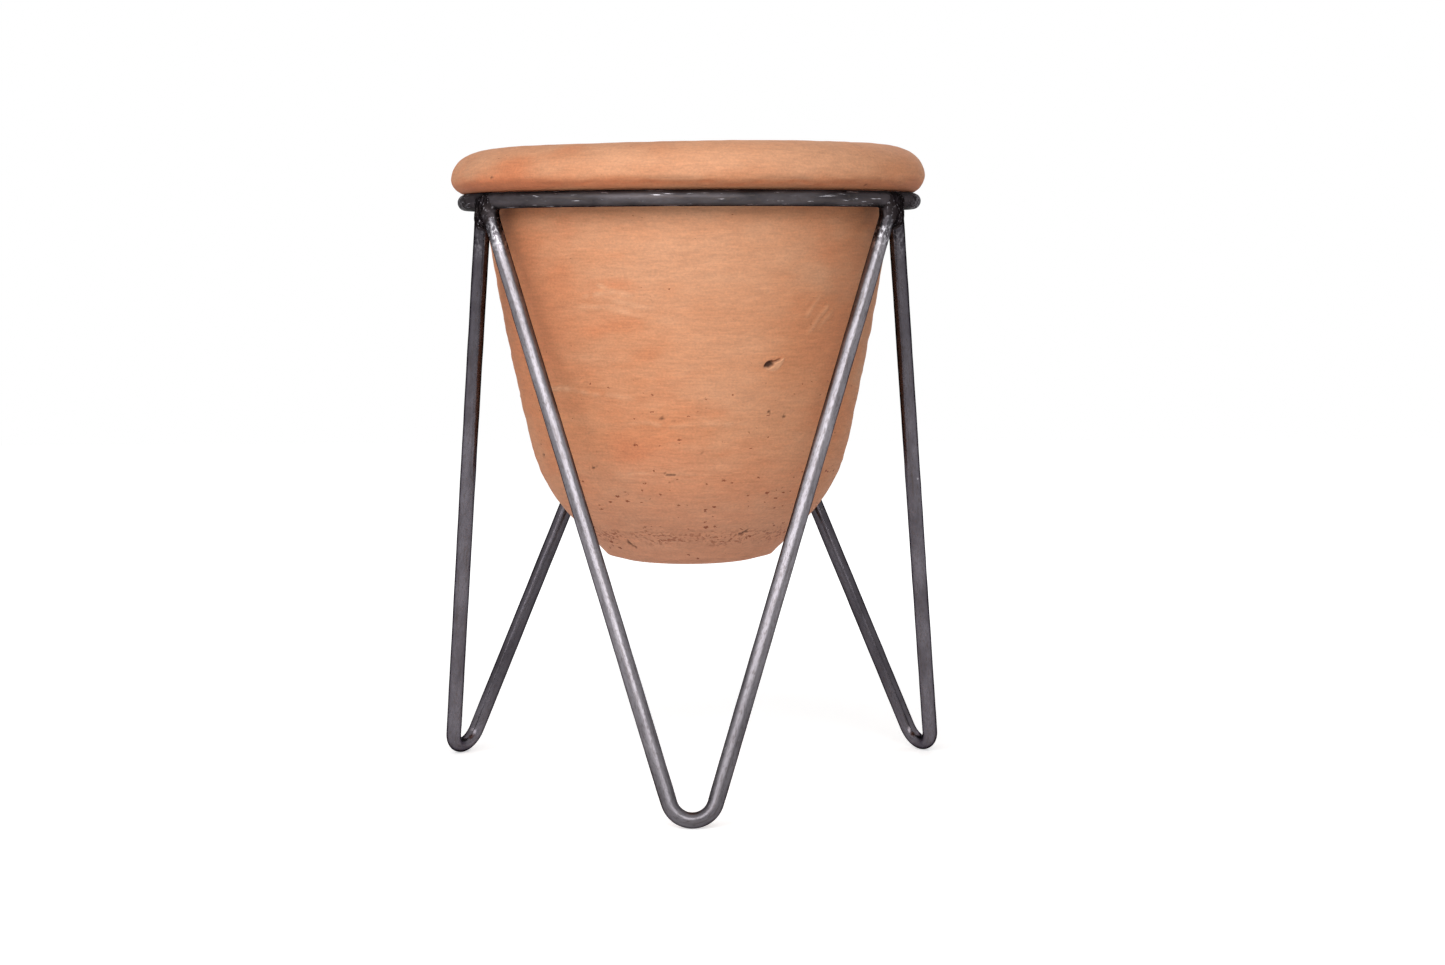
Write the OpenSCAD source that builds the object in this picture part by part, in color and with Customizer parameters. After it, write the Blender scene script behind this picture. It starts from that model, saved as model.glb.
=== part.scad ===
// A round-bottomed clay pot hanging by its rolled rim in a welded round-bar stand.
// Millimetres, +Z up. The origin is on the floor, under the centre of the ring.

/* [Stand] */
// Diameter of the round steel bar
bar_d = 12; // [8:0.5:16]
// Diameter of the ring across its outside
ring_od = 350; // [280:2:440]
// Height of the ring's centreline above the floor
ring_h = 438; // [350:2:560]
// Distance from the axis to the bar's centreline at the bottom of each foot
foot_reach = 214; // [170:2:270]
// Radius of the foot bend, to the bar's centreline
bend_r = 17; // [12:1:24]
// How far outside the ring's centreline the legs are welded
leg_out = 1.5; // [0:0.5:3]
// Opening between the ring's underside and the sawn ends of the legs, filled by weld
root_gap = 4.5; // [3.5:0.5:7]
// Gap between the two leg ends that meet at one corner
leg_gap = 0.5; // [0.3:0.1:2]
// Gap in the ring where its two ends are butt welded
seam_gap = 2; // [1.5:0.5:4]
// Direction of the ring's butt weld, seen from above, from +X towards +Y
seam_angle = 72; // [40:1:84]

/* [Pot] */
// Depth of the pot from the rim's seat down to its foot
pot_depth = 276; // [220:2:340]
// Thickness of the pot's side wall
wall_t = 14; // [10:0.5:18]
// Thickness of the pot's floor
floor_t = 16; // [12:0.5:20]
// Height of the rolled rim above its seat
rim_h = 33.7; // [26:0.1:42]
// Height of the rim's widest line above its seat
rim_belly = 11.7; // [9:0.1:15]
// How far the rim stands out past the outside of the ring
rim_over = 4; // [2:0.5:8]
// Distance from the rim's widest line in to its crest
rim_crest_in = 29; // [23:1:33]
// Gap between the rim's seat and the top of the ring
seat_gap = 0.3; // [0.2:0.1:1]
// Gap between the pot's neck and the inside of the ring
neck_gap = 8.5; // [5.5:0.5:14]
// Radius of the cove between the neck and the rim's seat
cove_r = 5; // [3:0.5:5]
// Lean of the side wall from upright, in degrees
wall_lean = 10.2; // [6:0.1:12]
// Extra lean of the side wall where it meets the knee, which makes it bow outwards
wall_bow = 3; // [1:0.1:5]
// Height of the knee's upper end above the pot's foot
knee_h = 87; // [75:1:105]
// Radius of the knee, outside
knee_r = 121; // [100:1:130]
// Lean of the pot's underside from upright, in degrees
heel_lean = 44; // [38:1:48]
// Radius of the hollow between the inside of the wall and the floor
hollow_r = 20; // [10:1:24]
// Diameter of the drain hole in the floor
drain_d = 20; // [12:1:24]

/* [Weld] */
// Radius of the bead around each leg's end
bead_r = 8.6; // [7:0.1:11]
// Radius of the bead run into the crotch between two legs
crotch_r = 5.5; // [4:0.1:7]

/* [Hidden] */
$fn = 96;

bar_r = bar_d / 2;
// Bending draws the bar down a little.
bend_bar_r = bar_r - 0.1;
ring_r = ring_od / 2 - bar_r;
seam_turn = seam_gap / ring_r * 180 / PI;

// Corners are where two legs meet the ring, and each foot lies midway between two corners.
corner_back = 90;
corner_front_left = 210;
corner_front_right = 330;
foot_front = 270;
foot_right = 30;
foot_left = 150;
half_span = 60;

// Each leg is drawn in its own upright plane, X along its span and Y up from the foot.
end_z = ring_h - bar_r - root_gap;
end_out = ring_r + leg_out;
end_side = bar_r + leg_gap / 2;
leg_half = end_out * sin(half_span) - end_side * cos(half_span);
leg_back = end_out * cos(half_span) + end_side * sin(half_span);
leg_rise = end_z - bend_bar_r;
leg_tilt = atan2(foot_reach - leg_back, leg_rise);
leg_len = norm([foot_reach - leg_back, leg_rise]);
// The straight limb is the tangent from its sawn end to the bend.
limb_reach = norm([leg_half, leg_len - bend_r]);
limb_l = sqrt(limb_reach * limb_reach - bend_r * bend_r);
limb_lean = atan2(leg_half, leg_len - bend_r) - asin(bend_r / limb_reach);
bend_turn = 180 - 2 * limb_lean;
// Each limb runs a little way over the bend.
limb_lap = 0.5;

// The pot is drawn from its foot at height 0, and hangs by the rim's seat.
seat_z = ring_h + bar_r + seat_gap;
foot_z = seat_z - pot_depth;
neck_r = ring_r - bar_r - neck_gap;
rim_r = ring_od / 2 + rim_over;
crest_r = rim_r - rim_crest_in;
seat_out = ring_r + 1.5;
wall_low = wall_lean + wall_bow;
knee_top = [neck_r - (pot_depth - knee_h) * tan(wall_lean), knee_h];
knee_c = knee_top - knee_r * [cos(wall_low), -sin(wall_low)];
knee_low = knee_c + knee_r * [cos(heel_lean), -sin(heel_lean)];
heel_r = knee_low[0] - knee_low[1] * tan(heel_lean);
// The side wall is one shallow arc from the knee to the neck.
wall_chord = norm([neck_r, pot_depth] - knee_top);
bow_r = wall_chord / (2 * sin(wall_bow));
bow_c = knee_top - bow_r * [cos(wall_low), -sin(wall_low)];
wall_high = wall_lean - wall_bow;
// The hollow rolls from the inside of the underside onto the floor.
hollow_z = floor_t + hollow_r;
hollow_c = [heel_r + hollow_z * tan(heel_lean) - (wall_t + hollow_r) / cos(heel_lean), hollow_z];

// Points on an ellipse from one angle to another, angles from +X towards +Y.
function arc(c, rx, ry, from, to, steps) =
    [for (i = [0:steps]) let (a = from + (to - from) * i / steps) c + [rx * cos(a), ry * sin(a)]];

// The wall from the pot's underside up to its neck, moved inwards by an inset.
function wall_line(inset) = concat(
    arc(knee_c, knee_r - inset, knee_r - inset, -heel_lean, -wall_low, 10),
    arc(bow_c, bow_r - inset, bow_r - inset, -wall_low, -wall_high, 8)
);
// The same line as the inside face, from the neck down to the floor.
function inside_line() = let (up = wall_line(wall_t)) [for (i = [len(up) - 1:-1:0]) up[i]];

rim_outside = concat(
    arc([seat_out, pot_depth + rim_belly], rim_r - seat_out, rim_belly, -90, 0, 8),
    arc([crest_r, pot_depth + rim_belly], rim_r - crest_r, rim_h - rim_belly, 9, 90, 12)
);
rim_inside = arc(
    [crest_r, pot_depth + rim_belly], crest_r - (neck_r - wall_t), rim_h - rim_belly, 99, 180, 9
);
cove = arc([neck_r + cove_r, pot_depth - cove_r], cove_r, cove_r, 180, 90, 5);
// The wall stops where the cove starts, so that the two run into each other.
outside_line = [for (p = wall_line(0)) if (p[1] < pot_depth - cove_r) p];

module pot() {
    color([0.78, 0.50, 0.36])
        translate([0, 0, foot_z])
            rotate_extrude($fn = 180)
                polygon(concat(
                    [[drain_d / 2, 0], [heel_r, 0]],
                    outside_line, cove, rim_outside, rim_inside, inside_line(),
                    arc(hollow_c, hollow_r, hollow_r, -heel_lean, -90, 6),
                    [[drain_d / 2, floor_t]]
                ));
}

// A stretch of the ring, with its middle in the direction given.
module ring_arc(middle, turn) {
    rotate([0, 0, middle - turn / 2])
        rotate_extrude(angle = turn, $fn = 180)
            translate([ring_r, ring_h]) circle(bar_r);
}

module ring() {
    color([0.27, 0.26, 0.28]) ring_arc(seam_angle + 180, 360 - seam_turn);
}

module ring_seam_weld() {
    color([0.36, 0.35, 0.36]) ring_arc(seam_angle, seam_turn);
}

// One straight limb, from the bend up to its sawn end.
module limb(side) {
    translate([side * bend_r * cos(limb_lean), bend_r - bend_r * sin(limb_lean), 0])
        rotate([-90, 0, -side * limb_lean])
            translate([0, 0, -limb_lap])
                cylinder(r = bar_r, h = limb_l + limb_lap);
}

module leg_bar() {
    translate([0, bend_r, 0])
        rotate([0, 0, -90 - bend_turn / 2])
            rotate_extrude(angle = bend_turn)
                translate([bend_r, 0]) circle(bend_bar_r);
    limb(1);
    limb(-1);
}

// A leg with its foot in the direction given, leaning in to the ring.
module leg(foot) {
    color([0.33, 0.32, 0.34])
        rotate([0, 0, foot + 90])
            translate([0, -foot_reach, bend_bar_r])
                rotate([90 - leg_tilt, 0, 0])
                    leg_bar();
}

// The weld metal at one corner, laid around what the ring and the two legs leave free.
module corner_weld(corner) {
    color([0.20, 0.19, 0.20])
        difference() {
            rotate([0, 0, corner]) {
                for (side = [-1, 1])
                    translate([end_out, side * end_side, end_z + root_gap / 2])
                        sphere(bead_r);
                translate([end_out + bar_r / 2, 0, end_z - bar_r])
                    sphere(crotch_r);
            }
            ring_arc(corner, 20);
            leg(corner + half_span);
            leg(corner - half_span);
        }
}

pot();
ring();
ring_seam_weld();
leg(foot_front);  // leg_front
leg(foot_right);  // leg_right
leg(foot_left);  // leg_left
corner_weld(corner_back);  // weld_back
corner_weld(corner_front_left);  // weld_front_left
corner_weld(corner_front_right);  // weld_front_right
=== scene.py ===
import bpy
import numpy as np
from mathutils import Matrix, Vector


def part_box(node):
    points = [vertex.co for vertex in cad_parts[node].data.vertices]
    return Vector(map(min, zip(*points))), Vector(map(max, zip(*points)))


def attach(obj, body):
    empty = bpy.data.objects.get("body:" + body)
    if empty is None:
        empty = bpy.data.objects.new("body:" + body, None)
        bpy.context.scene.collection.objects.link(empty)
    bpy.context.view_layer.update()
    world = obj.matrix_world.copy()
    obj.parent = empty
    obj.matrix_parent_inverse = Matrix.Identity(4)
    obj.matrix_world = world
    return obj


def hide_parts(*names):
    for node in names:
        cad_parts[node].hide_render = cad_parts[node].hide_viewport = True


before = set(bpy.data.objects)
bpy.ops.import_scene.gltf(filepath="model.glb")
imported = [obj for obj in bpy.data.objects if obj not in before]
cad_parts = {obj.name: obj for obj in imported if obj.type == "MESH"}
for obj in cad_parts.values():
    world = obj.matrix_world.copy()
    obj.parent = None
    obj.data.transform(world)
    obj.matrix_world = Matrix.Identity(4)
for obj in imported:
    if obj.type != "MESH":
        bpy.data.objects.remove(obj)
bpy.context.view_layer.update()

# A terracotta pot that hangs by its rolled rim in a welded round-bar stand.
# Sizes in the dictionaries are millimetres and degrees; meshes are built in metres.

mm = 0.001
turn = 2 * np.pi
scene = bpy.context.scene
scene.view_settings.view_transform = "Standard"


# ---- small helpers

def linearColour(hexText):  # sRGB hex to the linear red, green, blue and alpha that a shader takes
    shown = np.array([int(hexText[i:i + 2], 16) for i in (1, 3, 5)]) / 255
    linear = np.where(shown <= 0.04045, shown / 12.92, ((shown + 0.055) / 1.055) ** 2.4)
    return (*[float(value) for value in linear], 1.0)


def softStep(low, high, x):  # 0 below low, 1 above high, and smooth between
    t = np.clip((x - low) / (high - low), 0, 1)
    return t * t * (3 - 2 * t)


def hump(x, width):  # a bell of height 1 at 0, falling to about a third at one width
    return np.exp(-(x / width) ** 2)


def waves(x, y, z, size, seed, count=20):
    # Smooth random relief between about -1 and 1: a sum of sine waves in random directions,
    # each with a wavelength near the size given.
    draw = np.random.default_rng(seed)
    heading = draw.normal(size=(count, 3))
    heading /= np.linalg.norm(heading, axis=1)[:, None]
    heading *= turn / (size * draw.uniform(0.7, 1.6, count))[:, None]
    phase = draw.uniform(0, turn, count)
    total = np.zeros(np.broadcast(x, y, z).shape)
    for way, shift in zip(heading, phase):
        total += np.sin(way[0] * x + way[1] * y + way[2] * z + shift)
    return total / np.sqrt(count)


def spread(start, end, density, count, closed=False):
    # Places count values from start to end, close together where density(value) is high:
    # the density is summed up and the sum is read backwards at even steps.
    fine = np.linspace(start, end, 8000)
    total = np.concatenate([[0], np.cumsum(density(0.5 * (fine[1:] + fine[:-1])))])
    return np.interp(np.linspace(0, total[-1], count, endpoint=not closed), total, fine)


def gridFaces(rows, columns, closedRows, closedColumns):
    # Quads between neighbouring rows and columns; a closed direction joins its last to its first.
    r = np.arange(rows if closedRows else rows - 1)[:, None]
    c = np.arange(columns if closedColumns else columns - 1)[None, :]
    r2, c2 = (r + 1) % rows, (c + 1) % columns
    corners = [r * columns + c, r * columns + c2, r2 * columns + c2, r2 * columns + c]
    return np.stack([np.broadcast_to(k, (len(r), c.shape[1])) for k in corners], -1).reshape(-1, 4)


def fanFaces(ring, tip, flip):  # triangles from a ring of vertices to one tip
    after = np.roll(ring, -1)
    tips = np.full(len(ring), tip)
    return np.stack([after, ring, tips] if flip else [ring, after, tips], -1)


def makePiece(name, points, quads, triangles=None, floats=None, vectors=None):
    # Points come in millimetres. Loops are written as whole arrays, quads first and triangles after.
    mesh = bpy.data.meshes.new(name)
    triangles = np.zeros((0, 3), int) if triangles is None else triangles
    loops = np.concatenate([quads.ravel(), triangles.ravel()]).astype(np.int32)
    sizes = np.concatenate([np.full(len(quads), 4), np.full(len(triangles), 3)]).astype(np.int32)
    starts = np.concatenate([[0], np.cumsum(sizes)[:-1]]).astype(np.int32)
    mesh.vertices.add(len(points))
    mesh.vertices.foreach_set("co", (points * mm).astype(np.float32).ravel())
    mesh.loops.add(len(loops))
    mesh.loops.foreach_set("vertex_index", loops)
    mesh.polygons.add(len(sizes))
    mesh.polygons.foreach_set("loop_start", starts)
    mesh.polygons.foreach_set("use_smooth", np.ones(len(sizes), bool))
    mesh.update(calc_edges=True)
    for key, values in (floats or {}).items():
        mesh.attributes.new(key, "FLOAT", "POINT").data.foreach_set("value", values.astype(np.float32).ravel())
    for key, values in (vectors or {}).items():
        layer = mesh.attributes.new(key, "FLOAT_VECTOR", "POINT")
        layer.data.foreach_set("vector", values.astype(np.float32).ravel())
    mesh.validate()
    piece = bpy.data.objects.new(name, mesh)
    scene.collection.objects.link(piece)
    return piece


def fit(piece, material, body, slot, *nodes):  # finish a piece and put it in place of its CAD nodes
    piece.data.materials.append(material)
    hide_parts(*nodes)
    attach(piece, body)
    print(piece.name, "made with", len(piece.data.polygons), "faces")


# ---- materials

def addNode(tree, kind, inputs=None, **settings):
    # Adds a node, sets its properties, and fills its inputs with values or links from other sockets.
    node = tree.nodes.new("ShaderNode" + kind)
    for key, value in settings.items():
        setattr(node, key, value)
    for key, value in (inputs or {}).items():
        if isinstance(value, bpy.types.NodeSocket):
            tree.links.new(value, node.inputs[key])
        else:
            node.inputs[key].default_value = value
    return node


def newMaterial(name):
    material = bpy.data.materials.new(name)
    material.use_nodes = True
    tree = material.node_tree
    tree.nodes.clear()
    output = addNode(tree, "OutputMaterial")
    return material, tree, output


# Fired terracotta: thrown red earthenware, wiped with a wet sponge and fired without glaze.
# The eye sees a dry, chalky orange with fine wiping lines, paler and redder clouds and burst-lime pits.
terracotta = {
    # The fourth colour is painted light towards the bottom; the last two are painted shade in the pits and the hollows.
    "clay": "#C9875F", "pale": "#CC9470", "red": "#C8764D", "bottomPaintedLight": "#C08872", "pitShade": "#7A3519", "hole": "#280E06",
    "lineMm": 3.0, "lineLong": 11, "cloudMm": 60, "redMm": 110, "grainMm": 1.5, "pitMm": 2.7,
    "roughness": 0.82, "ior": 1.5,
}


def makeTerracotta():
    t = terracotta
    material, tree, output = newMaterial("FiredTerracotta")
    place = addNode(tree, "TexCoord").outputs["Object"]
    height = addNode(tree, "SeparateXYZ", {0: place}).outputs["Z"]

    def noise(sizeMm, long, detail, shift):  # cloud noise whose marks are longer round the pot than high
        stretched = addNode(tree, "Mapping", {"Vector": place, "Location": (shift, shift, shift),
                                              "Scale": (1 / long, 1 / long, 1)}).outputs[0]
        return addNode(tree, "TexNoise", {"Vector": stretched, "Scale": 1 / (sizeMm * mm),
                                          "Detail": detail, "Roughness": 0.6}).outputs["Fac"]

    def remap(value, low, high, toLow=0.0, toHigh=1.0):
        return addNode(tree, "MapRange", {"Value": value, "From Min": low, "From Max": high,
                                          "To Min": toLow, "To Max": toHigh}).outputs["Result"]

    def math(operation, a, b):
        return addNode(tree, "Math", {0: a, 1: b}, operation=operation).outputs[0]

    def blend(factor, a, b):
        return addNode(tree, "Mix", {"Factor": factor, "A": a, "B": b},
                       data_type="RGBA").outputs["Result"]

    lines = noise(t["lineMm"], t["lineLong"], 3.0, 0.3)
    wideLines = noise(t["lineMm"] * 4, t["lineLong"] / 2, 3.0, 1.7)
    fineLines = noise(t["lineMm"] * 0.6, t["lineLong"] * 0.6, 3.0, 8.8)
    clouds = noise(t["cloudMm"], 2.0, 4.0, 2.1)
    reds = noise(t["redMm"], 1.6, 3.0, 4.6)
    grain = noise(t["grainMm"], 1.3, 3.0, 0.9)

    # Pits sit where a random point falls close to the surface; only some of the points make one.
    wobble = addNode(tree, "TexNoise", {"Vector": place, "Scale": 700.0, "Detail": 1.0}).outputs["Color"]
    nudged = addNode(tree, "VectorMath", {0: wobble, 1: (0.0026, 0.0026, 0.0026), 2: place},
                     operation="MULTIPLY_ADD").outputs[0]
    squashed = addNode(tree, "Mapping", {"Vector": nudged, "Scale": (0.42, 0.42, 1)}).outputs[0]
    cells = addNode(tree, "TexVoronoi", {"Vector": squashed, "Scale": 1 / (t["pitMm"] * mm)})
    chance = addNode(tree, "SeparateColor", {0: cells.outputs["Color"]}).outputs
    low = remap(height, 0.32, 0.22, 0.35, 1.0)
    patchy = remap(noise(10, 7.0, 2.0, 7.7), 0.45, 0.58, 0.2, 1.0)
    radius = math("MULTIPLY", math("MULTIPLY", low, patchy), remap(chance["Red"], 0.3, 1.0, 0.0, 0.38))
    pits = remap(math("SUBTRACT", radius, cells.outputs["Distance"]), 0.0, 0.05)
    # A row of coarse grit dragged round just above the foot leaves a rougher band.
    band = math("MULTIPLY", remap(height, 0.181, 0.188), remap(height, 0.198, 0.191))
    rag = noise(2.2, 1.4, 2.0, 3.3)
    band = math("MULTIPLY", math("MULTIPLY", band, remap(noise(30, 1.0, 1.0, 5.1), 0.36, 0.5)),
                remap(rag, 0.51, 0.60))
    pits = math("MAXIMUM", pits, math("MULTIPLY", band, 0.8))

    # This attribute holds clay burnt redder or paler, painted highlights along the ridges and on the gouge's lip, and
    # painted shade under the rim.
    tintAndPaintedLight = addNode(tree, "Attribute", attribute_name="tintAndPaintedLight").outputs["Fac"]
    mottle = noise(9, 3.0, 4.0, 6.2)
    paler = math("SUBTRACT", math("ADD", remap(clouds, 0.35, 0.68, 0.0, 0.8), remap(mottle, 0.35, 0.65, -0.12, 0.12)), tintAndPaintedLight)
    redder = math("ADD", math("ADD", remap(reds, 0.50, 0.72, 0.0, 0.25), remap(mottle, 0.35, 0.65, 0.08, -0.08)), tintAndPaintedLight)
    colour = blend(remap(paler, 0, 1), linearColour(t["clay"]), linearColour(t["pale"]))
    colour = blend(remap(redder, 0, 1), colour, linearColour(t["red"]))
    # Painted light: towards the bottom the clay is blended to a greyer pink that evens out the lamps' fall-off.
    colour = blend(math("MULTIPLY", remap(height, 0.27, 0.17), 0.45), colour, linearColour(t["bottomPaintedLight"]))
    shade = math("ADD", math("MULTIPLY", remap(lines, 0.3, 0.7, -1, 1), 0.03),
                 math("MULTIPLY", remap(grain, 0.3, 0.7, -1, 1), 0.10))
    shade = math("ADD", shade, math("MULTIPLY", remap(wideLines, 0.3, 0.7, -1, 1), 0.03))
    shade = math("ADD", shade, math("MULTIPLY", remap(fineLines, 0.3, 0.7, -1, 1), 0.09))
    # Paler tint also lightens the clay: painted highlights along the ridges and on the gouge's lip.
    shade = math("ADD", shade, remap(tintAndPaintedLight, 0.0, -1.0, 0.0, 0.13))
    colour = addNode(tree, "HueSaturation", {"Value": math("ADD", shade, 1.0), "Color": colour}).outputs[0]
    # Painted shade: the hollows of the scars and the gouge, the rim's underside and its crease are blended towards a
    # near-black brown.
    hollowShade = addNode(tree, "Attribute", attribute_name="hollowShade").outputs["Fac"]
    # Painted shade: the pits and the grit band are blended towards a dark red-brown.
    colour = blend(math("MULTIPLY", pits, 0.85), colour, linearColour(t["pitShade"]))
    colour = blend(hollowShade, colour, linearColour(t["hole"]))

    relief = math("ADD", math("MULTIPLY", lines, 0.5), math("MULTIPLY", grain, 0.3))
    relief = math("ADD", relief, math("MULTIPLY", fineLines, 0.4))
    relief = math("SUBTRACT", relief, math("MULTIPLY", pits, 0.5))
    bump = addNode(tree, "Bump", {"Height": relief, "Strength": 0.8, "Distance": 0.0007}).outputs[0]
    rough = remap(grain, 0.2, 0.8, t["roughness"] - 0.06, t["roughness"] + 0.06)
    shader = addNode(tree, "BsdfPrincipled", {"Base Color": colour, "Roughness": rough, "IOR": t["ior"],
                                              "Normal": bump})
    tree.links.new(shader.outputs[0], output.inputs["Surface"])
    return material


# Hot-rolled mild steel bar: mill scale rubbed thin by handling and waxed, never painted.
# The eye sees a dark blue-grey satin with grain along the bar and a few bright nicks.
barSteel = {
    "scale": "#534F55", "rubbed": "#6A666D", "brown": "#4E4643", "nick": "#C9C6CC", "edge": "#5A5A5A",
    # The darkest colour blackens the bar ends that the welding heated, and is also painted shade on the back limbs and
    # the front foot.
    "blackenedAndShaded": "#242125", "brushed": "#B4B1B6", "drawnMm": 1.6, "drawnLong": 25, "cloudMm": 14, "nickMm": 6, "nickLong": 2, "nickAt": 0.72, "roughness": 0.24,
}
# The front leg gets a lighter copy of the same steel so that its reflections show brighter: a lit copy, painted
# highlight.
litFrontSteel = {**barSteel, "scale": "#747075", "rubbed": "#888489", "edge": "#2A2A2A", "roughness": 0.33}
ringSteel = {**barSteel, "scale": "#363335", "rubbed": "#565154", "nickMm": 1.4, "nickLong": 14,
             "nickAt": 0.64, "roughness": 0.46}


def makeBarSteel(name, s):
    material, tree, output = newMaterial(name)
    along = addNode(tree, "Attribute", attribute_name="along").outputs["Vector"]

    def noise(sizeMm, long, detail, shift):  # noise drawn out along the bar
        stretched = addNode(tree, "Mapping", {"Vector": along, "Location": (shift, shift, shift),
                                              "Scale": (1, 1, 1 / long)}).outputs[0]
        return addNode(tree, "TexNoise", {"Vector": stretched, "Scale": 1 / (sizeMm * mm),
                                          "Detail": detail, "Roughness": 0.6}).outputs["Fac"]

    def remap(value, low, high, toLow=0.0, toHigh=1.0):
        return addNode(tree, "MapRange", {"Value": value, "From Min": low, "From Max": high,
                                          "To Min": toLow, "To Max": toHigh}).outputs["Result"]

    def blend(factor, a, b):
        return addNode(tree, "Mix", {"Factor": factor, "A": a, "B": b},
                       data_type="RGBA").outputs["Result"]

    drawn = noise(s["drawnMm"], s["drawnLong"], 3.0, 0.4)
    clouds = noise(s["cloudMm"], 2.5, 4.0, 1.1)
    fine = noise(1.2, 3.0, 2.0, 2.2)
    nicks = remap(noise(s["nickMm"], s["nickLong"], 4.0, 5.5), s["nickAt"], s["nickAt"] + 0.05)
    colour = blend(remap(clouds, 0.35, 0.65), linearColour(s["scale"]), linearColour(s["rubbed"]))
    colour = blend(remap(drawn, 0.55, 0.75, 0.0, 0.6), colour, linearColour(s["brown"]))
    colour = blend(remap(fine, 0.5, 0.68, 0.0, 0.5), colour, linearColour(s["brown"]))
    # This blend blackens the weld-heated bar ends and also paints shade on the back limbs and the front foot.
    scorchAndShade = addNode(tree, "Attribute", attribute_name="scorchAndShade").outputs["Fac"]
    colour = blend(scorchAndShade, colour, linearColour(s["blackenedAndShaded"]))
    colour = blend(nicks, colour, linearColour(s["nick"]))
    bare = addNode(tree, "Attribute", attribute_name="bare").outputs["Fac"]
    specks = addNode(tree, "Math", {0: remap(noise(2.2, 1.5, 4.0, 3.1), 0.50, 0.60), 1: bare}, operation="MULTIPLY")
    colour = blend(specks.outputs[0], colour, linearColour(s["brushed"]))
    rough = addNode(tree, "Math", {0: remap(clouds, 0.3, 0.7, s["roughness"] - 0.05, s["roughness"] + 0.07),
                                   1: remap(fine, 0.3, 0.7, -0.04, 0.04)}, operation="ADD").outputs[0]
    relief = addNode(tree, "Math", {0: drawn, 1: fine}, operation="ADD").outputs[0]
    bump = addNode(tree, "Bump", {"Height": relief, "Strength": 0.5, "Distance": 0.00012}).outputs[0]
    shader = addNode(tree, "BsdfPrincipled", {"Base Color": colour, "Metallic": 1.0, "Roughness": rough,
                                              "Specular Tint": linearColour(s["edge"]), "Normal": bump})
    tree.links.new(shader.outputs[0], output.inputs["Surface"])
    return material


# Stick-weld bead: steel melted in place and brushed, with burnt scale left in its hollows.
# The eye sees a nearly black lumpy skin with small bright spots where the wire brush reached.
weldBead = {"burnt": "#302C30", "bright": "#A09CA2", "brown": "#302A28", "edge": "#505050", "spotMm": 2.0, "roughness": 0.42}


def makeWeldBead():
    w = weldBead
    material, tree, output = newMaterial("BurntWeldBead")
    place = addNode(tree, "TexCoord").outputs["Object"]
    spots = addNode(tree, "TexNoise", {"Vector": place, "Scale": 1 / (w["spotMm"] * mm), "Detail": 4.0,
                                       "Roughness": 0.6}).outputs["Fac"]
    stain = addNode(tree, "TexNoise", {"Vector": place, "Scale": 140.0, "Detail": 2.0}).outputs["Fac"]
    bright = addNode(tree, "MapRange", {"Value": spots, "From Min": 0.62, "From Max": 0.70}).outputs[0]
    colour = addNode(tree, "Mix", {"Factor": stain, "A": linearColour(w["burnt"]),
                                   "B": linearColour(w["brown"])}, data_type="RGBA").outputs["Result"]
    colour = addNode(tree, "Mix", {"Factor": bright, "A": colour, "B": linearColour(w["bright"])},
                     data_type="RGBA").outputs["Result"]
    bump = addNode(tree, "Bump", {"Height": spots, "Strength": 0.6, "Distance": 0.0004}).outputs[0]
    shader = addNode(tree, "BsdfPrincipled", {"Base Color": colour, "Metallic": 1.0, "Roughness": w["roughness"],
                                              "Specular Tint": linearColour(w["edge"]), "Normal": bump})
    tree.links.new(shader.outputs[0], output.inputs["Surface"])
    return material


claySkin = makeTerracotta()
legSkin = makeBarSteel("WaxedMillScaleSteel", barSteel)
litFrontSkin = makeBarSteel("LitMillScaleSteelCopy", litFrontSteel)
ringSkin = makeBarSteel("RolledRingSteel", ringSteel)
weldSkin = makeWeldBead()
print("materials made")


# ---- the pot

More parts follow.
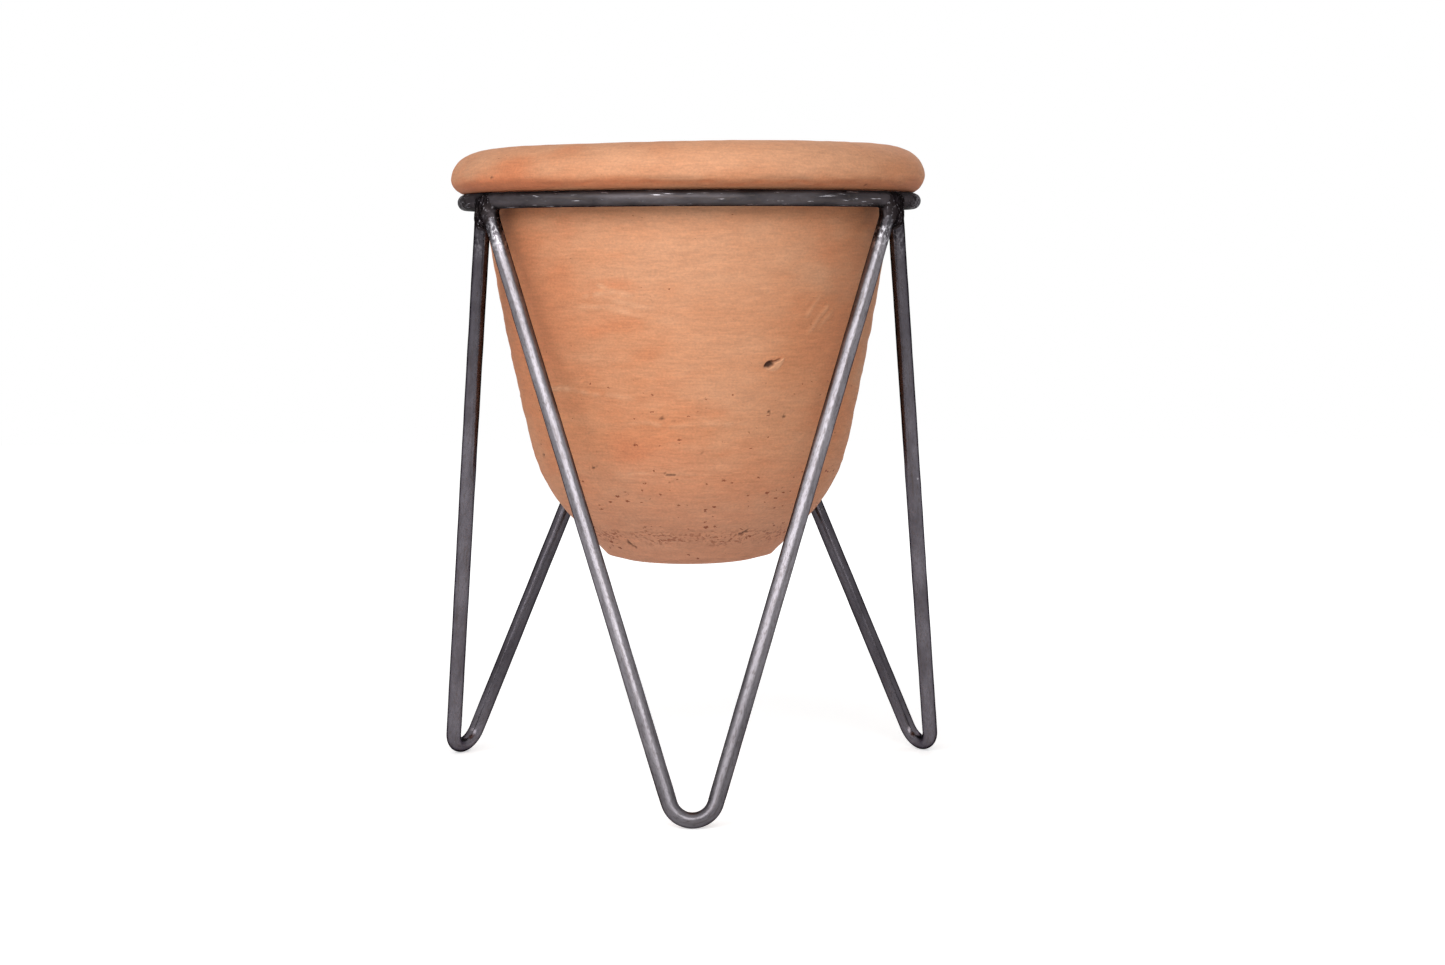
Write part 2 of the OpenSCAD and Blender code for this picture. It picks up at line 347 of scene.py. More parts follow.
potLow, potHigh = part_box("pot")
potShape = {
    "footZ": potLow.z / mm, "topZ": potHigh.z / mm, "rimR": potHigh.x / mm,
    "depth": 276, "neckR": 154.5, "wallLean": 10.2, "wallBow": 3, "kneeH": 87, "kneeR": 121, "heelLean": 44,
    "wall": 14, "floor": 16, "hollowR": 20, "drainR": 10,
    # how far in from the rim's widest line and how high above the seat the rim's underside turns
    "rimUnder": [(8.5, 0), (7.3, 0.7), (4.0, 3.4), (1.5, 6.8), (0.35, 10.0), (0.0, 12.2)],
    "crestIn": 29, "coveR": 5, "edgeSoft": 0.6,
}
potMarks = {
    "aside": -0.9, "roundness": 0.4, "rimSlope": 0.0075, "rimLift": 0.15, "footDrop": 0.3,
    # angle from the front, height, half length, half width, slope and depth of each scar; its hollow is painted dark as
    # painted shade
    "scars": [(-37, 243.5, 2.6, 1.0, 12, 0.9), (-7.5, 239.7, 4.8, 0.6, -6, 0.7), (-36, 184, 4.2, 1.3, -40, 1.1),
              (28, 193, 4.0, 1.2, 25, 1.0), (-9, 281.5, 1.8, 0.9, 20, 0.9), (-5, 280, 1.4, 0.8, 0, 0.8),
              (27, 285, 1.8, 1.0, -20, 0.9), (33, 281, 1.3, 0.8, 0, 0.8), (4, 256, 1.2, 1.0, 0, 0.8),
              (-66, 250, 2.2, 1.2, 0, 0.8), (118, 300, 5, 1.3, 8, 0.9), (-140, 262, 3, 1.6, -15, 1.0),
              (165, 352, 7, 0.9, 4, 0.6), (-52, 455, 2.6, 0.7, 10, 0.5), (47, 447.5, 1.4, 0.8, 0, 0.6)],
    # first and last angle, first and last height, width and how far each ridge stands up; each ridge is painted paler
    # and lighter as a painted highlight, and a groove is painted redder as painted shade
    "ridges": [(-54, -32, 303.5, 299.5, 1.6, 0.9), (-37, -16, 300, 296, 1.5, 0.8), (-24, 24, 278, 276.5, 1.5, 0.5),
               (-29, -14, 378, 369, 1.4, 0.8), (-24, -8, 367, 359, 1.4, 0.7), (-34, -18, 369, 372, 1.4, 0.5),
               (-26, -11, 362, 353, 1.4, 0.5), (-36, -22, 362, 360, 1.4, 0.45),
               (35, 50, 333, 370, 1.7, 0.6), (39, 52, 336, 366, 1.5, 0.45), (33, 45, 345, 374, 1.5, 0.4), (-30, 10, 239.5, 239, 0.8, 0.3),
               (-80, -25, 452, 453.5, 0.9, 0.2), (-30, 85, 452.5, 452, 0.9, 0.2),
               (-85, 80, 448.5, 448.5, 0.9, -0.45),
               (100, 160, 318, 315, 1.5, 0.8), (-170, -120, 336, 338, 1.4, 0.7), (-110, -80, 290, 292, 1.2, 0.6)],
    # a hole and a slit that runs up from it to the right, both painted dark as painted shade, and a lip of clay pushed
    # up under the slit, painted paler and lighter as a painted highlight
    "gouge": {"angle": 27.2, "z": 320.6, "slope": 23, "holeAt": -4.2, "holeLong": 3.7, "holeWide": 2.3,
              "holeDeep": 3.6, "slitLong": 7.6, "slitDeep": 1.2, "lipLong": 9.0, "lipWide": 6.2, "lipTall": 1.4},
    # angle, height, half width in degrees, half height and strength: above 0 redder, below 0 paler and lighter; the
    # bands near height 448 redden the rim's underside as painted shade
    "flushes": [(-45, 461, 6.5, 9, 0.8), (-29, 470, 6, 6, 0.5), (-7, 470, 3, 4, 0.5), (-62, 350, 26, 100, 0.55),
                (0, 400, 26, 60, -0.3), (12, 300, 18, 40, -0.2), (55, 330, 18, 80, 0.3), (-12, 255, 30, 22, 0.2),
                (5, 462, 30, 20, -0.5), (0, 468, 900, 12, -0.35), (170, 330, 40, 60, 0.4), (110, 400, 30, 40, -0.3),
                (0, 448, 900, 5, 0.7), (-48, 449, 18, 6, 0.8)],
    # Painted shade on the rim's underside, then the height, width and darkness of a line of painted shade in the crease
    # along it.
    "rimShade": 0.25, "rimCreaseShade": (452.4, 0.9, 0.3),
}


def degSin(a):
    return np.sin(np.radians(a))


def degCos(a):
    return np.cos(np.radians(a))


def arcPoints(centre, rx, ry, start, end, count=80):
    a = np.radians(np.linspace(start, end, count))
    return np.stack([centre[0] + rx * np.cos(a), centre[1] + ry * np.sin(a)], -1)


def wallLine(s, inset):  # the knee's arc and then the bowed side wall, moved in by the inset
    low, high = s["wallLean"] + s["wallBow"], s["wallLean"] - s["wallBow"]
    top = np.array([s["neckR"] - (s["depth"] - s["kneeH"]) * np.tan(np.radians(s["wallLean"])), s["kneeH"]])
    kneeAt = top - s["kneeR"] * np.array([degCos(low), -degSin(low)])
    bowR = np.linalg.norm(np.array([s["neckR"], s["depth"]]) - top) / (2 * degSin(s["wallBow"]))
    bowAt = top - bowR * np.array([degCos(low), -degSin(low)])
    knee = arcPoints(kneeAt, s["kneeR"] - inset, s["kneeR"] - inset, -s["heelLean"], -low, 200)
    bow = arcPoints(bowAt, bowR - inset, bowR - inset, -low, -high, 200)
    return np.concatenate([knee, bow[1:]])


def potProfile(s):
    # The closed outline of the pot's section, as radius and height above the foot: up the outside from
    # the drain hole, over the rim, down the inside and back through the drain hole.
    wall = wallLine(s, 0)
    wall = wall[wall[:, 1] < s["depth"] - s["coveR"]]
    heelR = wall[0][0] - wall[0][1] * np.tan(np.radians(s["heelLean"]))
    depth, rise = s["depth"], s["topZ"] - s["footZ"] - s["depth"]
    under = np.array([[s["rimR"] - inward, depth + up] for inward, up in s["rimUnder"]])
    bellyTop = under[-1][1]
    crestR = s["rimR"] - s["crestIn"]
    inside = wallLine(s, s["wall"])[::-1]
    hollowZ = s["floor"] + s["hollowR"]
    hollowX = heelR + hollowZ * np.tan(np.radians(s["heelLean"]))
    hollowX -= (s["wall"] + s["hollowR"]) / degCos(s["heelLean"])
    crestTall = depth + rise - bellyTop
    return np.concatenate([
        [[s["drainR"], 0], [heelR, 0]], wall,
        arcPoints((s["neckR"] + s["coveR"], depth - s["coveR"]), s["coveR"], s["coveR"], 180, 90, 12),
        under,
        arcPoints((crestR, bellyTop), s["crestIn"], crestTall, 2, 90),
        arcPoints((crestR, bellyTop), crestR - inside[0][0], crestTall, 92, 180),
        inside,
        arcPoints((hollowX, hollowZ), s["hollowR"], s["hollowR"], -s["heelLean"], -90, 30),
        [[s["drainR"], s["floor"]]],
    ])


def softOutline(points, soft):
    # Walks the outline in even steps and averages each point with its neighbours over a soft width,
    # so that every corner is rounded as wet clay is.
    closed = np.concatenate([points, points[:1]])
    length = np.concatenate([[0], np.cumsum(np.linalg.norm(np.diff(closed, axis=0), axis=1))])
    count = 6000
    even = np.linspace(0, length[-1], count, endpoint=False)
    walked = np.stack([np.interp(even, length, closed[:, k]) for k in (0, 1)], -1)
    step = length[-1] / count
    reach = np.fft.fftfreq(count, step) * turn
    smooth = np.fft.ifft(np.fft.fft(walked, axis=0) * np.exp(-0.5 * (reach * soft) ** 2)[:, None], axis=0)
    return even, smooth.real


def potRelief(angle, z, x, y, outside, marks):
    # How far the clay stands out of its outline, in millimetres: slow dents, throwing ridges,
    # dragged ridges, scars and the gouge. The second result is painted shade: how dark the hollows,
    # the rim's underside and the crease along it are painted. The third is how much redder or paler
    # the clay has burnt, with painted highlights on the ridges and the gouge's lip and painted shade under the rim.
    relief = 0.45 * waves(x, y, z, 170, 11) * outside
    relief += 0.18 * waves(x * 0.10, y * 0.10, z, 10, 12) * outside
    relief += 0.08 * waves(x * 0.2, y * 0.2, z, 5, 13) * outside
    relief += 0.08 * waves(x, y, z, 14, 14) * outside
    paintedShade, tintAndPaintedLight = np.zeros_like(relief), np.zeros_like(relief)
    radius = np.hypot(x, y)

    def local(centreAngle, centreZ, slope):  # distances along and across a mark, in millimetres
        across = (np.mod(angle - np.radians(centreAngle) + np.pi, turn) - np.pi) * radius
        c, s = degCos(slope), degSin(slope)
        return across * c + (z - centreZ) * s, (z - centreZ) * c - across * s

    for at, height, long, wide, slope, deep in marks["scars"]:
        a, b = local(at, height, slope)
        ragged = np.clip(1 + 0.5 * waves(x, y, z, 3.0, int(height)), 0.5, 2)
        cut = softStep(0.1, 0.9, 1.25 - np.hypot(a / long, b / wide) * ragged) * outside
        relief -= deep * cut
        # Painted shade in each scar's hollow.
        paintedShade = np.maximum(paintedShade, 0.8 * cut)
    for a0, a1, z0, z1, wide, tall in marks["ridges"]:
        mid, half = (a0 + a1) / 2, (a1 - a0) / 2
        slope = np.degrees(np.arctan2(z1 - z0, np.radians(a1 - a0) * 128))
        a, b = local(mid, (z0 + z1) / 2, slope)
        inLength = softStep(1.0, 0.5, np.abs(a) / (np.radians(half) * 128)) * outside
        inLength = inLength * np.clip(0.75 + 0.5 * waves(x, y, z * 0, 9, int(z1)), 0, 1.3)
        b = b - 0.9 * waves(x, y, z * 0, 26, int(z0))
        relief += tall * (hump(b, wide) - 0.6 * hump(b - 1.7 * wide, wide)) * inLength
        # Painted highlight: paler and lighter along each ridge; a groove is painted redder as painted shade.
        tintAndPaintedLight -= 1.05 * tall * hump(b + 0.3 * wide, wide) * inLength
    # Painted shade on the rim's underside and in a broken line along its crease.
    paintedShade = np.maximum(paintedShade, marks["rimShade"] * softStep(453.5, 449, z) * softStep(440, 445, z) * outside)
    lineZ, lineWide, lineDark = marks["rimCreaseShade"]
    broken = np.clip(0.6 + 0.6 * waves(x, y, z * 0, 40, 9), 0, 1)
    paintedShade = np.maximum(paintedShade, lineDark * hump(z - lineZ, lineWide) * broken * outside)
    g = marks["gouge"]
    a, b = local(g["angle"], g["z"], g["slope"])
    leaf = np.clip(1 - (a / g["lipLong"]) ** 2, 0, 1)
    t = -b / np.maximum(g["lipWide"] * leaf, 1e-3)
    lip = softStep(-0.1, 0.1, t) * softStep(1.15, 0.7, t) * softStep(0.0, 0.2, leaf) * outside
    relief += g["lipTall"] * lip * np.clip(1.1 - 0.7 * t, 0, 1)
    # Painted highlight: the lip is painted paler and lighter.
    tintAndPaintedLight -= 1.4 * lip
    slit = softStep(1.1, 0.3, np.abs(b - 0.5)) * softStep(g["slitLong"], g["slitLong"] - 4, np.abs(a)) * outside
    hole = np.hypot((a - g["holeAt"]) / g["holeLong"], (b - 0.3) / g["holeWide"])
    hole = softStep(1.25, 0.7, hole + 0.12 * waves(x, y, z, 2.5, 77)) * outside
    relief -= np.maximum(g["slitDeep"] * slit, g["holeDeep"] * hole)
    # Painted shade in the hole and the slit.
    paintedShade = np.maximum(paintedShade, np.maximum(0.5 * slit, 0.9 * hole))
    for at, height, wide, tall, strength in marks["flushes"]:
        turned = np.mod(np.degrees(angle) - at + 180, 360) - 180
        ragged = 1 + 0.35 * waves(x * 0.5, y * 0.5, z, 26, 5 + int(height))
        tintAndPaintedLight += strength * hump(np.hypot(turned / wide, (z - height) / tall) * np.clip(ragged, 0.4, 2), 1.0)
    return relief, np.clip(paintedShade, 0, 1), np.clip(tintAndPaintedLight, -1, 1)


def makePot():
    s, marks = potShape, potMarks
    even, outline = softOutline(potProfile(s), s["edgeSoft"])
    length = even[-1]
    outlineZ = outline[:, 1] + s["footZ"]
    insideFrom = even[np.argmax(outline[:, 1])]
    wallFrom = even[np.argmax(outline[:, 1] > 3)]

    busyZ = [mark[1] for mark in marks["scars"]] + [(mark[2] + mark[3]) / 2 for mark in marks["ridges"]]

    def rowDensity(at):  # rows crowd where the marks are
        height = np.interp(at, even, outlineZ)
        busy = np.clip(sum(hump(height - z, 4) for z in busyZ), 0, 1)
        gouge = 2.0 * hump(height - marks["gouge"]["z"], 6)
        wall = (0.45 + 0.35 * busy + gouge) * (at > wallFrom) * (at < insideFrom + 25)
        return wall + 0.06

    def columnDensity(a):
        gouge = 2.0 * hump(np.degrees(a) - marks["gouge"]["angle"], 4)
        return 1 - 0.6 * softStep(1.45, 2.0, np.abs(a)) + gouge

    rows = spread(0, length, rowDensity, 248, closed=True)
    angles = spread(-np.pi, np.pi, columnDensity, 400, closed=True)
    r = np.interp(rows, even, outline[:, 0])[:, None]
    z = np.interp(rows, even, outlineZ)[:, None]
    slope = np.gradient(outline, axis=0)
    slope /= np.linalg.norm(slope, axis=1)[:, None]
    outR = np.interp(rows, even, slope[:, 1])[:, None]
    outZ = -np.interp(rows, even, slope[:, 0])[:, None]
    outside = ((rows > wallFrom) & (rows < insideFrom + 30)).astype(float)[:, None]
    angle = angles[None, :]
    x, y = r * np.sin(angle), -r * np.cos(angle)
    relief, paintedShade, tintAndPaintedLight = potRelief(angle, z + 0 * angle, x, y, outside + 0 * angle, marks)
    seat = hump(z - (s["footZ"] + s["depth"]), 3) * softStep(s["neckR"] - 2, s["neckR"] + 6, r)
    relief = relief * (1 - seat)
    slack = 0.3 * waves(x, y, z * 0.3, 120, 21) * (1 - outside)
    newR = r + outR * (relief + slack) + marks["roundness"] * np.cos(2 * angle + 0.6)
    newZ = z + outZ * (relief + slack)
    x, y = newR * np.sin(angle), -newR * np.cos(angle)
    # The rim was left a little higher at the right, and the foot's edge sags.
    upRim = np.clip((newZ - s["footZ"] - s["depth"]) / 20, 0, 1)
    newZ = newZ + upRim * (marks["rimSlope"] * x + marks["rimLift"])
    newZ = newZ - marks["footDrop"] * softStep(s["footZ"] + 14, s["footZ"], newZ)
    points = np.stack([x + marks["aside"], y, newZ], -1).reshape(-1, 3)
    quads = gridFaces(len(rows), len(angles), True, True)
    return makePiece("clayPot", points, quads, floats={"hollowShade": paintedShade, "tintAndPaintedLight": tintAndPaintedLight})


fit(makePot(), claySkin, "pot", "terracotta", "pot")


# ---- the steel bars

ringLow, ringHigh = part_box("ring")
legLow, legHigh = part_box("leg_front")
stand = {
    "barR": (ringHigh.z - ringLow.z) / 2 / mm,
    "ringR": (ringHigh.x - ringLow.x) / 2 / mm - (ringHigh.z - ringLow.z) / 2 / mm,
    "ringZ": (ringHigh.z + ringLow.z) / 2 / mm,
    "bendR": 17, "legOut": 1.5, "rootGap": 4.5, "legGap": 0.5, "bendThin": 0.1,
    "seamAt": 72, "seamGap": 2, "sides": 48,
}
stand["footReach"] = 214
stand["endZ"] = stand["ringZ"] - stand["barR"] - stand["rootGap"]


def barTube(name, path, normal, binormal, length, radius, along, closed, scorchAndShade, bare):
    # A tube: each point is the path plus radius times (cos times the normal plus sin times the binormal).
    sides = stand["sides"]
    a = np.linspace(0, turn, sides, endpoint=False)[None, :, None]
    radius = radius[:, :, None]
    points = path[:, None, :] + radius * (np.cos(a) * normal[:, None, :] + np.sin(a) * binormal[:, None, :])
    rows = len(path)
    round_ = np.broadcast_to(np.concatenate([np.cos(a), np.sin(a)], -1) * stand["barR"], (rows, sides, 2))
    attr = np.concatenate([round_, np.broadcast_to(length[:, None, None], (rows, sides, 1))], -1) * mm
    attr = attr + np.array(along) * mm
    points, attr, scorchAndShade, bare = points.reshape(-1, 3), attr.reshape(-1, 3), scorchAndShade.ravel(), bare.ravel()
    quads = gridFaces(rows, sides, closed, True)[:, ::-1]
    triangles = None
    if not closed:
        points = np.concatenate([points, path[:1], path[-1:]])
        attr = np.concatenate([attr, attr[:1], attr[-1:]])
        scorchAndShade, bare = [np.concatenate([v, v[:1], v[-1:]]) for v in (scorchAndShade, bare)]
        first, last = np.arange(sides), np.arange(sides) + (rows - 1) * sides
        triangles = np.concatenate([fanFaces(first, rows * sides, True), fanFaces(last, rows * sides + 1, False)])
        triangles = triangles[:, ::-1]
    return makePiece(name, points, quads, triangles, floats={"scorchAndShade": scorchAndShade, "bare": bare}, vectors={"along": attr})


def makeRing():
    s = stand
    count = 520
    gap = s["seamGap"] / s["ringR"]
    start = np.radians(s["seamAt"]) + gap / 2
    a = np.linspace(start, start + turn - gap, count)
    wave = 0.12 * waves(np.cos(a) * 170, np.sin(a) * 170, 0, 130, 31)
    path = np.stack([(s["ringR"] + wave) * np.cos(a), (s["ringR"] + wave) * np.sin(a),
                     np.full(count, s["ringZ"])], -1)
    normal = np.stack([np.cos(a), np.sin(a), 0 * a], -1)
    binormal = np.stack([0 * a, 0 * a, 1 + 0 * a], -1)
    side = np.linspace(0, turn, s["sides"], endpoint=False)[None, :]
    length = (a - start) * s["ringR"]
    dents = 0.05 * waves(length[:, None] * 0.4, 6 * np.cos(side), 6 * np.sin(side), 9, 32)
    # The wire brush bared the steel on the outer sides of the two front corner welds.
    brushed = [np.mod(np.degrees(a) - beside + 180, 360) - 180 for beside in (187, 353)]
    bare = np.clip(1.1 * sum(hump(near, 9) for near in brushed)[:, None] * np.clip(np.cos(side) + 0.5, 0, 1), 0, 1)
    return barTube("standRing", path, normal, binormal, length, s["barR"] + dents - 0.05, (0, 0, 0), False, 0 * dents, bare)


def legLine():
    # The bar's centreline in the leg's own plane: across, and up along the lean, from the foot.
    s = stand
    endOut, endSide = s["ringR"] + s["legOut"], s["barR"] + s["legGap"] / 2
    half = endOut * degSin(60) - endSide * degCos(60)
    back = endOut * degCos(60) + endSide * degSin(60)
    rise = s["endZ"] - (s["barR"] - s["bendThin"])
    inward = s["footReach"] - back
    tilt, tall = np.arctan2(inward, rise), np.hypot(inward, rise)
    reach = np.hypot(half, tall - s["bendR"])
    limb = np.sqrt(reach ** 2 - s["bendR"] ** 2)
    lean = np.arctan2(half, tall - s["bendR"]) - np.arcsin(s["bendR"] / reach)
    turned = np.pi / 2 - lean
    arc = s["bendR"] * turned

    def at(d):  # the centreline at a signed distance from the bottom of the foot
        side, d = np.sign(d), np.abs(d)
        a = np.minimum(d, arc) / s["bendR"]
        beyond = np.maximum(d - arc, 0)
        across = s["bendR"] * np.sin(a) + beyond * np.sin(lean)
        up = s["bendR"] * (1 - np.cos(a)) + beyond * np.cos(lean)
        heading = np.where(d < arc, a, turned)
        return side * across, up, side * heading, a
    return at, arc + limb, arc, tilt, lean


def makeLeg(name, footAt, shadedLimbSide, seed):
    s = stand
    at, reach, arc, tilt, _ = legLine()
    d = spread(-reach, reach, lambda v: 0.32 + 0.5 * softStep(60, 20, np.abs(v)) + hump(np.abs(v) - reach, 3), 520)
    ends = softStep(reach - 0.9, reach, np.abs(d))
    across, up, heading, _ = at(d)
    bow = 0.25 * np.sin(np.pi * d / reach) * (1 - softStep(0.9, 1.0, np.abs(d) / reach))
    flat = np.stack([across, up], -1)
    tangent = np.gradient(flat, d, axis=0)
    tangent /= np.linalg.norm(tangent, axis=1)[:, None]
    c, k = degCos(footAt), degSin(footAt)
    outward, sideways = np.array([c, k, 0]), np.array([-k, c, 0])
    upward = np.array([0, 0, 1]) * np.cos(tilt) - outward * np.sin(tilt)
    facing = outward * np.cos(tilt) + np.array([0, 0, 1]) * np.sin(tilt)
    foot = outward * s["footReach"] + np.array([0, 0, s["barR"] - s["bendThin"]])
    path = foot + flat[:, :1] * sideways + (flat[:, 1:] + 0 * up[:, None]) * upward + bow[:, None] * facing
    normal = tangent[:, 1:] * sideways - tangent[:, :1] * upward
    binormal = np.broadcast_to(facing, normal.shape)
    side = np.linspace(0, turn, s["sides"], endpoint=False)[None, :]
    bent = softStep(arc + 12, arc - 6, np.abs(d))[:, None]
    squeeze = 1 - 0.022 * bent * np.cos(2 * side)
    dents = 0.06 * waves(d[:, None] * 0.35, 6 * np.cos(side), 6 * np.sin(side), 9, seed)
    radius = (s["barR"] - 0.06) * squeeze + dents - 0.9 * ends[:, None] ** 2 - s["bendThin"] * bent
    # The welding heat has blackened the bar ends, and both limbs of the side legs are darker over their upper part. The
    # limb at the back is painted darker all along as painted shade.
    ragged = 5 * waves(d[:, None], 6 * np.cos(side), 6 * np.sin(side), 11, seed + 20)
    scorchAndShade = 0.8 * softStep(reach - 30, reach - 12, np.abs(d)[:, None] + ragged)
    scorchAndShade = np.maximum(scorchAndShade, 0.5 * softStep(0, 70, shadedLimbSide * d)[:, None])
    if shadedLimbSide != 0:
        scorchAndShade = np.maximum(scorchAndShade, 0.5 * softStep(reach - 220, reach - 40, np.abs(d))[:, None])
    bare = (0.9 if shadedLimbSide == 0 else 0.15) * hump(np.abs(d)[:, None] - reach + 20, 11) + 0 * scorchAndShade
    if shadedLimbSide == 0:  # the front foot is painted darker, most of all up the right-hand limb: painted shade
        scorchAndShade = np.maximum(scorchAndShade, 0.45 * softStep(170, 40, np.abs(d - 30))[:, None])
    return barTube(name, path, normal, binormal, d, radius, (0.0, 40.0 * seed, 0.0), False, scorchAndShade, bare)


fit(makeRing(), ringSkin, "stand", "bar_steel", "ring")
for name, node, footAt, shadedLimbSide, seed in (("frontLeg", "leg_front", -90, 0, 3), ("rightLeg", "leg_right", 30, 1, 4),
                                           ("leftLeg", "leg_left", 150, -1, 5)):
    fit(makeLeg(name, footAt, shadedLimbSide, seed), litFrontSkin if node == "leg_front" else legSkin, "stand", "bar_steel", node)


# ---- the welds

cornerBead = {
    "middle": (1.5, 0.0, -6.5),  # out, along and up from the ring's centreline
    "thick": 1.4, "fade": 12, "web": 0.4, "crotch": (2.5, 0.0, -15.0, 3.0), "reach": 17,
    "lumps": 0.2, "ripples": 0.08,
}


def beadDepth(p, seed):
    # How far a point lies outside the weld, in millimetres: the soft minimum of the distances to the ring,
    # to the two bar ends and to a drop in the crotch, each padded by weld that thins away from the joint.
    b, s = cornerBead, stand
    _, _, _, tilt, lean = legLine()
    joint = np.array(b["middle"])
    pad = s["barR"] + np.clip(b["thick"] * (1 - np.linalg.norm(p - joint, axis=1) / b["fade"]), -0.7, 1)
    ring = np.hypot(np.hypot(s["ringR"] + p[:, 0], p[:, 1]) - s["ringR"], p[:, 2])
    near = [ring - pad]
    for side in (1, -1):
        end = np.array([s["legOut"], side * (s["barR"] + s["legGap"] / 2), s["endZ"] - s["ringZ"]])
        outward, sideways = np.array([0.5, side * degSin(60), 0]), np.array([-degSin(60), side * 0.5, 0])
        upward = np.array([0, 0, np.cos(tilt)]) - outward * np.sin(tilt)
        down = np.sin(lean) * sideways - np.cos(lean) * upward
        along = np.clip((p - end) @ down, 0, 40)
        near.append(np.linalg.norm(p - end - along[:, None] * down, axis=1) - pad)
    near.append(np.linalg.norm(p - np.array(b["crotch"][:3]), axis=1) - b["crotch"][3])
    depth = -np.log(sum(np.exp(-b["web"] * far) for far in near)) / b["web"]
    depth = depth - b["lumps"] * waves(*p.T, 7, seed) - b["ripples"] * waves(*p.T, 2.6, seed + 1)
    return np.maximum(depth, np.linalg.norm(p - joint, axis=1) - b["reach"])


def makeCornerBead(name, corner, seed):
    # A closed skin seen from the joint's middle: in every direction a point walks inwards until it
    # touches the weld.
    rows, columns = 100, 140
    tall = np.linspace(0, np.pi, rows + 2)[1:-1][:, None]
    round_ = np.linspace(0, turn, columns, endpoint=False)[None, :]
    way = np.stack([np.sin(tall) * np.cos(round_), np.sin(tall) * np.sin(round_), np.cos(tall) + 0 * round_], -1)
    way = np.concatenate([way.reshape(-1, 3), [[0, 0, 1], [0, 0, -1]]])
    joint = np.array(cornerBead["middle"])
    distance = np.full(len(way), cornerBead["reach"] + 1.0)
    for _ in range(60):
        distance = np.maximum(distance - 0.7 * beadDepth(joint + way * distance[:, None], seed), 0.5)
    spot = joint + way * distance[:, None]
    c, k = degCos(corner), degSin(corner)
    out, along = np.array([c, k, 0]), np.array([-k, c, 0])
    points = out * stand["ringR"] + np.array([0, 0, stand["ringZ"]])
    points = points + spot[:, :1] * out + spot[:, 1:2] * along + spot[:, 2:] * np.array([0, 0, 1])
    quads = gridFaces(rows, columns, False, True)[:, ::-1]
    top, bottom = np.arange(columns), np.arange(columns) + (rows - 1) * columns
    triangles = np.concatenate([fanFaces(top, rows * columns, False), fanFaces(bottom, rows * columns + 1, True)])
    return makePiece(name, points, quads, triangles)


def makeSeamBead():
    # The butt weld that closes the ring: a short collar round the bar, with ripples across it.
    s = stand
    rows, sides = 26, 64
    side = np.linspace(0, turn, sides, endpoint=False)[None, :]
    t = np.linspace(-1, 1, rows)[:, None]
    at = np.radians(s["seamAt"]) + t * 4.2 / s["ringR"] + 0 * side
    swell = 0.9 * np.sqrt(np.clip(1 - t ** 2, 0, 1)) * (1 + 0.35 * waves(t * 6, np.cos(side) * 6, np.sin(side) * 6, 5, 61))
    radius = s["barR"] - 0.5 + swell
    out = s["ringR"] + radius * np.cos(side)
    points = np.stack([out * np.cos(at), out * np.sin(at), s["ringZ"] + radius * np.sin(side) + 0 * t], -1)
    ends = [[s["ringR"] * np.cos(a), s["ringR"] * np.sin(a), s["ringZ"]] for a in (at[0, 0], at[-1, 0])]
    points = np.concatenate([points.reshape(-1, 3), ends])
    quads = gridFaces(rows, sides, False, True)[:, ::-1]
    first, last = np.arange(sides), np.arange(sides) + (rows - 1) * sides
    triangles = np.concatenate([fanFaces(first, rows * sides, False), fanFaces(last, rows * sides + 1, True)])
    return makePiece("ringSeamBead", points, quads, triangles)


for name, node, corner, seed in (("backBead", "weld_back", 90, 71), ("frontLeftBead", "weld_front_left", 210, 72),
                                 ("frontRightBead", "weld_front_right", 330, 73)):
    fit(makeCornerBead(name, corner, seed), weldSkin, "stand", "weld_metal", node)
fit(makeSeamBead(), weldSkin, "stand", "weld_metal", "ring_seam_weld")


# ---- floor, light and camera

studio = {
    "camera": (0, -2200, 396), "lensMm": 72, "down": 0.0776, "pan": 0.0110, "roll": -0.0042,
    "key": {"at": (-330, -1600, 1090), "aim": (0, 0, 250), "size": (2500, 850), "watts": 28.5},
    "left": {"at": (-1750, -550, 1450), "aim": (0, 0, 280), "size": (1300, 700), "watts": 3.5},
    "back": {"at": (700, 1700, 1500), "aim": (0, 0, 300), "size": (1400, 1400), "watts": 8},
    "world": 0.30, "floorWhite": 0.88, "liftNear": 0.52, "liftFar": 0.80, "nearM": 0.25, "farM": 1.2,
}


def makeLamp(name, lamp):
    data = bpy.data.lights.new(name, "AREA")
    data.shape = "RECTANGLE"
    data.size, data.size_y = lamp["size"][0] * mm, lamp["size"][1] * mm
    data.energy = lamp["watts"]
    item = bpy.data.objects.new(name, data)
    scene.collection.objects.link(item)
    item.location = Vector(lamp["at"]) * mm
    aim = (Vector(lamp["aim"]) - Vector(lamp["at"])).to_track_quat("-Z", "Y")
    item.rotation_euler = aim.to_euler()


def seenOrMirrored(tree):  # 1 for rays from the camera and for mirrored or refracted ones
    rays = addNode(tree, "LightPath").outputs
    either = addNode(tree, "Math", {0: rays["Is Camera Ray"], 1: rays["Is Glossy Ray"]}, operation="MAXIMUM")
    return addNode(tree, "Math", {0: either.outputs[0], 1: rays["Is Transmission Ray"]}, operation="MAXIMUM").outputs[0]


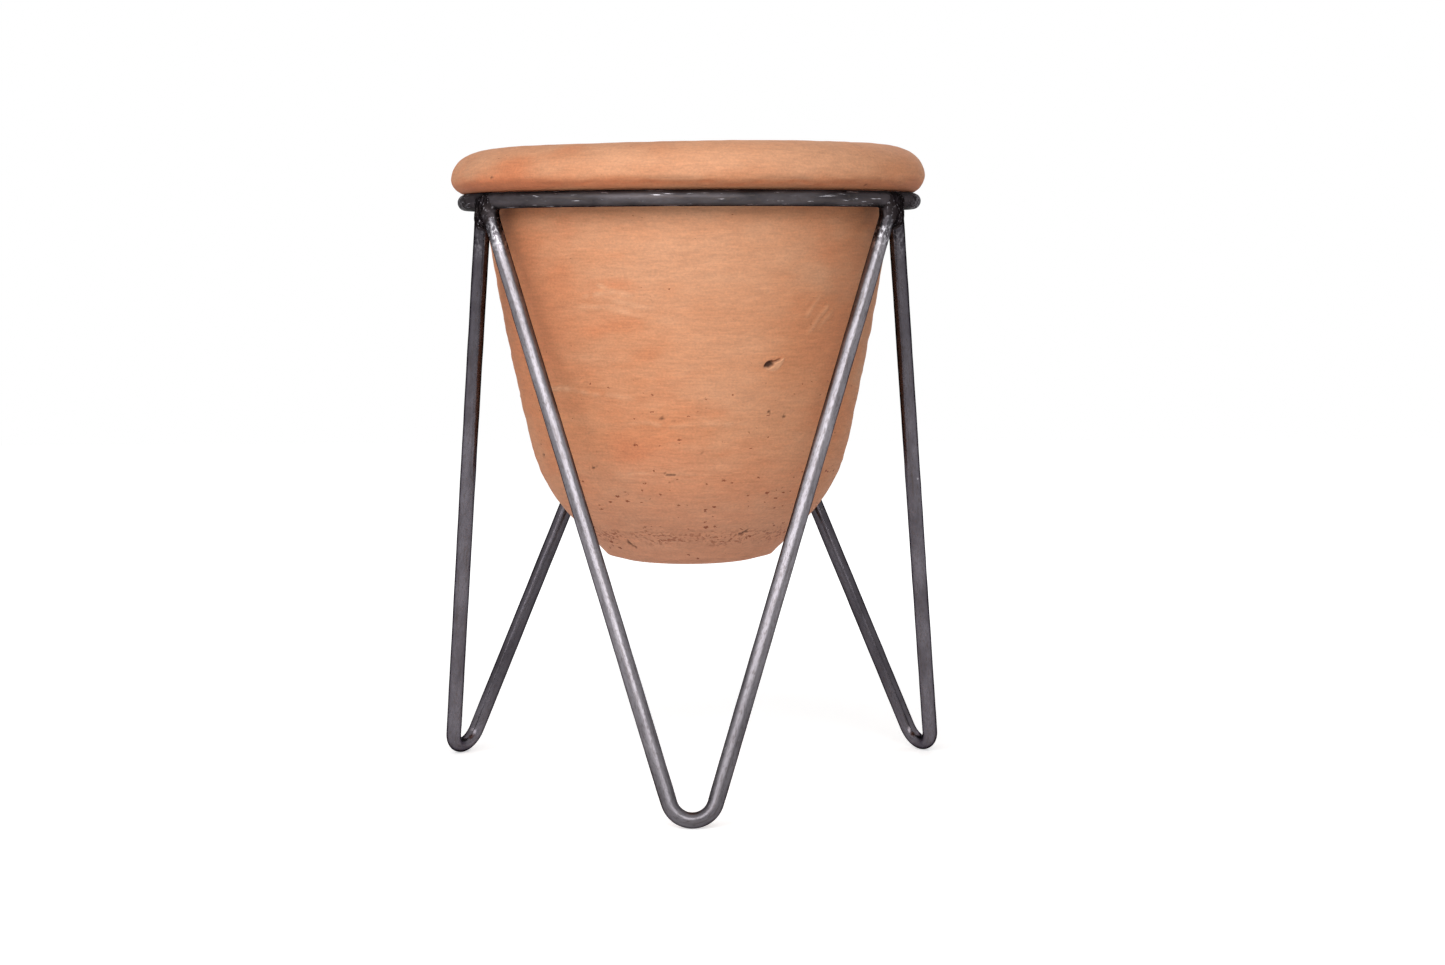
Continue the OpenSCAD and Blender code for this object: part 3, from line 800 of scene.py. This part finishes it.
def makeFloor():
    # White paper sweep: matte, with a little of its own light so that it stays white to the eye.
    material, tree, output = newMaterial("WhitePaperSweep")
    white = studio["floorWhite"]
    paper = addNode(tree, "BsdfDiffuse", {"Color": (white, white, white, 1.0)})
    away = addNode(tree, "VectorMath", {0: addNode(tree, "TexCoord").outputs["Object"]}, operation="LENGTH")
    lift = addNode(tree, "MapRange", {"Value": away.outputs["Value"], "From Min": studio["nearM"],
                                      "From Max": studio["farM"], "To Min": studio["liftNear"],
                                      "To Max": studio["liftFar"]}, interpolation_type="SMOOTHSTEP")
    lift = addNode(tree, "Math", {0: seenOrMirrored(tree), 1: lift.outputs[0]}, operation="MULTIPLY")
    glow = addNode(tree, "Emission", {"Strength": lift.outputs[0]})
    both = addNode(tree, "AddShader", {0: paper.outputs[0], 1: glow.outputs[0]})
    tree.links.new(both.outputs[0], output.inputs["Surface"])
    rows = columns = 9
    x, y = np.meshgrid(np.linspace(-4000, 4000, columns), np.linspace(-4000, 4000, rows))
    points = np.stack([x.ravel(), y.ravel(), 0 * x.ravel()], -1)
    floor = makePiece("paperFloor", points, gridFaces(rows, columns, False, False))
    floor.data.materials.append(material)


def makeWorld():
    world = bpy.data.worlds.new("StudioAir")
    scene.world = world
    world.use_nodes = True
    tree = world.node_tree
    tree.nodes.clear()
    strength = addNode(tree, "MapRange", {"Value": seenOrMirrored(tree), "To Min": studio["world"], "To Max": 1.0})
    air = addNode(tree, "Background", {"Color": (1.0, 1.0, 1.0, 1.0), "Strength": strength.outputs[0]})
    tree.links.new(air.outputs[0], addNode(tree, "OutputWorld").inputs["Surface"])


def makeCamera():
    s = studio
    camera = bpy.data.objects.new("camera", bpy.data.cameras.new("camera"))
    camera.data.lens, camera.data.sensor_width = s["lensMm"], 36
    scene.collection.objects.link(camera)
    right = Vector((np.cos(s["pan"]), -np.sin(s["pan"]), 0))
    forward = Vector((np.sin(s["pan"]) * np.cos(s["down"]), np.cos(s["pan"]) * np.cos(s["down"]), -np.sin(s["down"])))
    up = right.cross(forward)
    tiltedRight = right * np.cos(s["roll"]) + up * np.sin(s["roll"])
    tiltedUp = up * np.cos(s["roll"]) - right * np.sin(s["roll"])
    turned = Matrix((tiltedRight, tiltedUp, -forward)).transposed().to_4x4()
    camera.matrix_world = Matrix.Translation(Vector(s["camera"]) * mm) @ turned
    scene.camera = camera


makeFloor()
makeWorld()
for side in ("key", "left", "back"):
    makeLamp(side + "Panel", studio[side])
makeCamera()
print("studio made")
